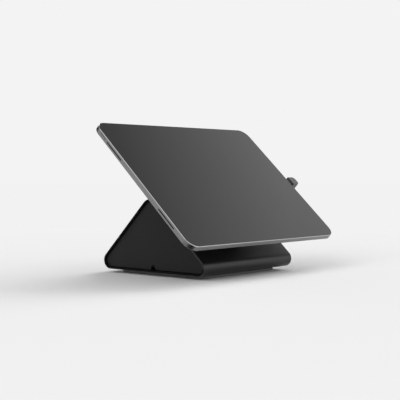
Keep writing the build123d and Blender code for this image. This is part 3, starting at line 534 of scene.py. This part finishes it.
# Painted dark reflection: near black and matte, with no sheen of its own
dark_reflection_paint = finish("card_painted_dark_reflection", "#010101", "#030303", drift=20, grain=1.0, depth=0.1,
                   rough=(0.9, 1.0), sheen=0.0)


def black_card(name, place, width, length, facing):
    """Card in millimetres that faces along a direction and shows in nothing but the sheen of surfaces, as a
    painted dark reflection.
    """
    card = bmesh.new()
    bmesh.ops.create_grid(card, x_segments=1, y_segments=1, size=0.5)
    turn = Vector(facing).to_track_quat("Z", "Y").to_matrix().to_4x4()
    sized = Matrix.Diagonal((width * mm, length * mm, 1, 1))
    placed = Matrix.Translation(Vector(place) * mm) @ turn @ sized
    bmesh.ops.transform(card, verts=card.verts[:], matrix=placed)
    mesh = bpy.data.meshes.new(name)
    card.to_mesh(mesh)
    card.free()
    made = bpy.data.objects.new(name, mesh)
    made.data.materials.append(dark_reflection_paint)
    made.visible_camera = made.visible_diffuse = made.visible_shadow = False
    bpy.context.collection.objects.link(made)


black_card("lower_corner_card", place=(-142, -106, 1), width=58, length=44, facing=(0, 0, 1))
black_card("upper_corner_card", place=(-60, 330, 225), width=340, length=200, facing=(-61, -283, -73))


# World: an even fill, and for the sheen of surfaces a bright surround under a dimmer top

EVEN_FILL = 0.5
SURROUND = 0.97
OVERHEAD = 0.36
FALL_CURVE = 0.84
# Heights of a direction, from 0 at the horizon to 1 overhead
SURROUND_ENDS = 0.58
OVERHEAD_STARTS = 0.72

world = bpy.data.worlds.new("studio")
world.use_nodes = True
bpy.context.scene.world = world
sky = world.node_tree
direction = add(sky, "TexCoord").outputs["Generated"]
height = add(sky, "SeparateXYZ", {0: direction})
lowness = add(sky, "MapRange", {0: height.outputs["Z"], "From Min": SURROUND_ENDS,
                                "From Max": OVERHEAD_STARTS, "To Min": 1.0, "To Max": 0.0})
fall = add(sky, "Math", {0: lowness.outputs[0], 1: FALL_CURVE}, operation="POWER")
dome = add(sky, "Math", {0: fall.outputs[0], 1: SURROUND - OVERHEAD, 2: OVERHEAD}, operation="MULTIPLY_ADD")
ray = add(sky, "LightPath").outputs
strength = add(sky, "Mix", {0: ray["Is Glossy Ray"], 2: EVEN_FILL, 3: dome.outputs[0]}, data_type="FLOAT")
lit = sky.nodes["Background"]
sky.links.new(strength.outputs[0], lit.inputs["Strength"])
lit.inputs["Color"].default_value = linear("#ffffff")
shown = add(sky, "Background", {"Color": linear("#f3f3f3"), "Strength": 1.0})
either = add(sky, "MixShader", {0: ray["Is Camera Ray"], 1: lit.outputs[0], 2: shown.outputs[0]})
sky.links.new(either.outputs[0], sky.nodes["World Output"].inputs["Surface"])


# Lamps: soft boxes in metres and watts, and wide lights with their bearing in degrees

MIDDLE = Vector((0, 0, 0.05))
LIGHT_SPREAD = radians(40)
TILT_FROM_OVERHEAD = radians(58)


def sheen_lamp(name, place, size, power):
    """Soft box turned to the object that shows only in the sheen of its surfaces."""
    data = bpy.data.lights.new(name, "AREA")
    data.shape = "RECTANGLE"
    data.size, data.size_y = size
    data.energy = power
    lamp = bpy.data.objects.new(name, data)
    lamp.location = place
    lamp.rotation_euler = (Vector(place) - MIDDLE).to_track_quat("Z", "Y").to_euler()
    lamp.visible_diffuse = False
    bpy.context.collection.objects.link(lamp)


def wide_light(name, bearing, strength):
    """Broad light from afar, low over the floor, that gives soft shade and no highlight."""
    data = bpy.data.lights.new(name, "SUN")
    data.energy = strength
    data.angle = LIGHT_SPREAD
    lamp = bpy.data.objects.new(name, data)
    turn = Matrix.Rotation(radians(bearing), 3, "Z") @ Matrix.Rotation(TILT_FROM_OVERHEAD, 3, "Y")
    lamp.rotation_euler = turn.to_euler()
    lamp.visible_glossy = False
    bpy.context.collection.objects.link(lamp)


sheen_lamp("left_overhead_sheen", place=(-0.75, -0.3, 1.5), size=(1.0, 1.0), power=2.1)
sheen_lamp("rear_sheen", place=(0.3, 1.3, 1.4), size=(0.9, 0.9), power=5)
sheen_lamp("front_sheen", place=(0.7, -1.5, 0.4), size=(1.4, 0.7), power=1)
wide_light("right_light", bearing=0, strength=1.73)
wide_light("left_light", bearing=180, strength=1.04)
wide_light("front_light", bearing=-45, strength=0.44)

bpy.context.scene.view_settings.view_transform = "Standard"
